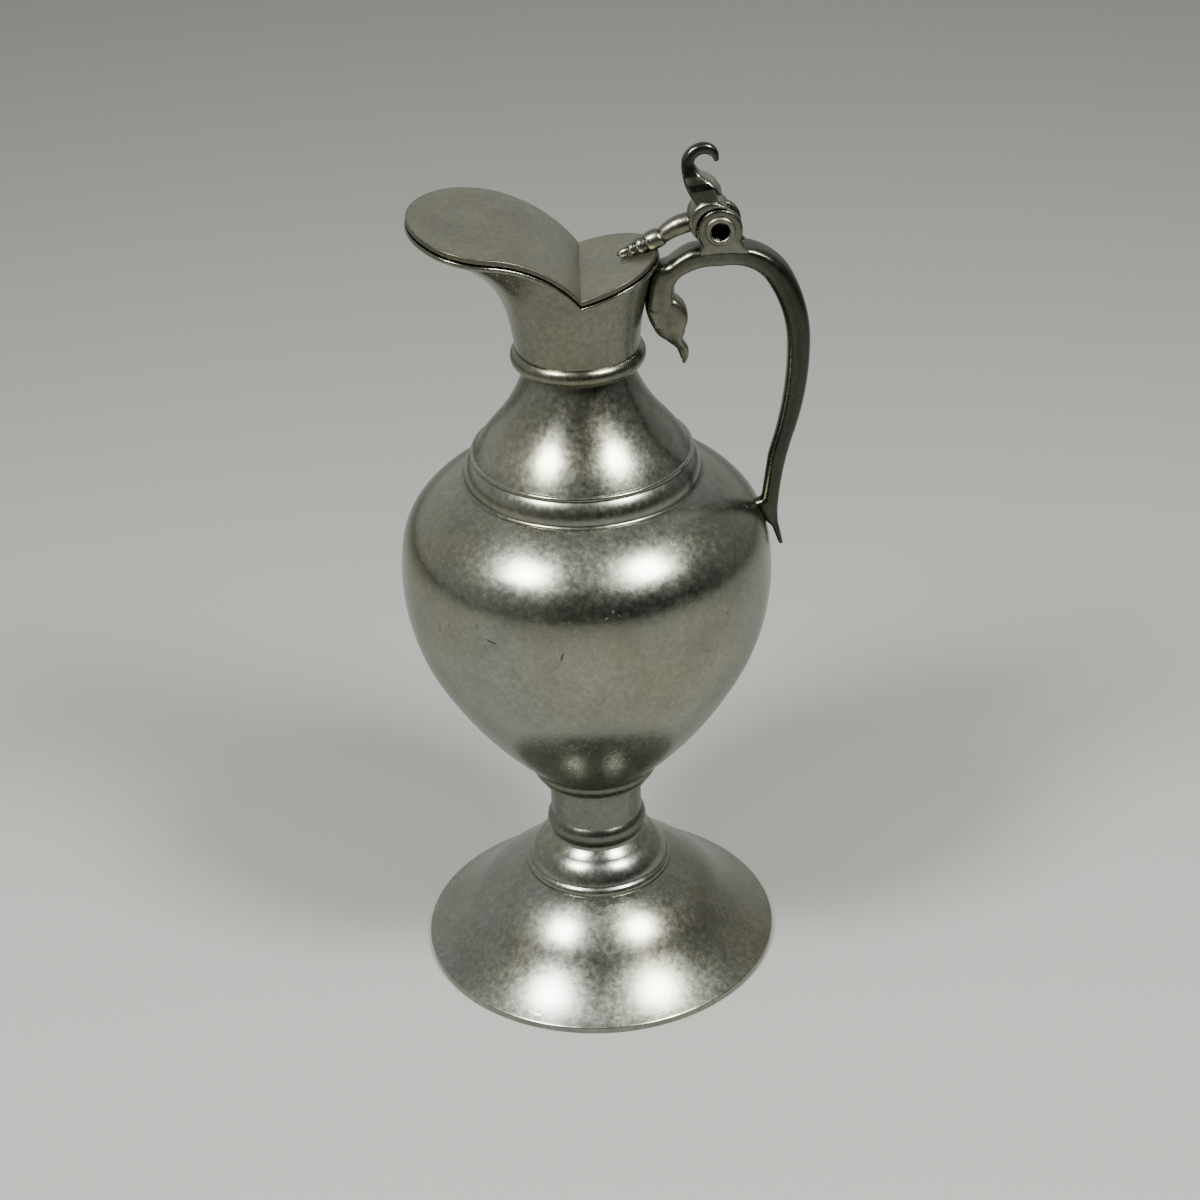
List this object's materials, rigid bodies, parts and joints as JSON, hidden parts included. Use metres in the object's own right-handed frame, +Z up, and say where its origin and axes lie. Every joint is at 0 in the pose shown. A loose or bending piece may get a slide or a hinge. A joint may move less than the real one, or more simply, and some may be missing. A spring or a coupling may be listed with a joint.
{
  "type": "lidded pitcher",
  "caption": "Footed pewter pitcher with a round bowl, bell neck, wide dipped spout, looped strap handle and a hinged lid with a scroll thumbpiece and a beaded arm.",
  "frame": {"origin": "centre of the foot's flat ring face, on the turning axis of the body", "axes": "+Z up along the turning axis, +X towards the handle, -X towards the spout, +Y along the lid's hinge axis, away from the viewer of the picture"},
  "size_m": [0.1322, 0.12, 0.2896],
  "materials": {
    "pewter_body": "satin turned pewter, lightly scratched",
    "pewter_lid": "satin flat pewter",
    "pewter_cast": "cast pewter, darker and more worn"
  },
  "bodies": {
    "vessel": {"foot": "pewter_body", "foot_cap": "pewter_body", "stem_bead": "pewter_body", "stem": "pewter_body", "bowl_socket": "pewter_body", "lower_bowl": "pewter_body", "upper_bowl": "pewter_body", "shoulder_ring": "pewter_body", "neck": "pewter_body", "neck_bead": "pewter_body", "mouth": "pewter_body", "handle": "pewter_cast", "handle_leaf": "pewter_cast", "hinge_cheek_front": "pewter_cast", "hinge_cheek_rear": "pewter_cast", "hinge_pin": "pewter_cast"},
    "lid_leaf": {"lid": "pewter_lid", "lid_arm": "pewter_cast", "lid_knuckle": "pewter_cast", "thumbpiece": "pewter_cast"}
  },
  "joints": [
    {"name": "lid_hinge", "type": "hinge", "parent": "vessel", "child": "lid_leaf", "pos_m": [0.0444, 0, 0.263], "axis": [0, 1, 0], "range_deg": [0, 95]}
  ]
}
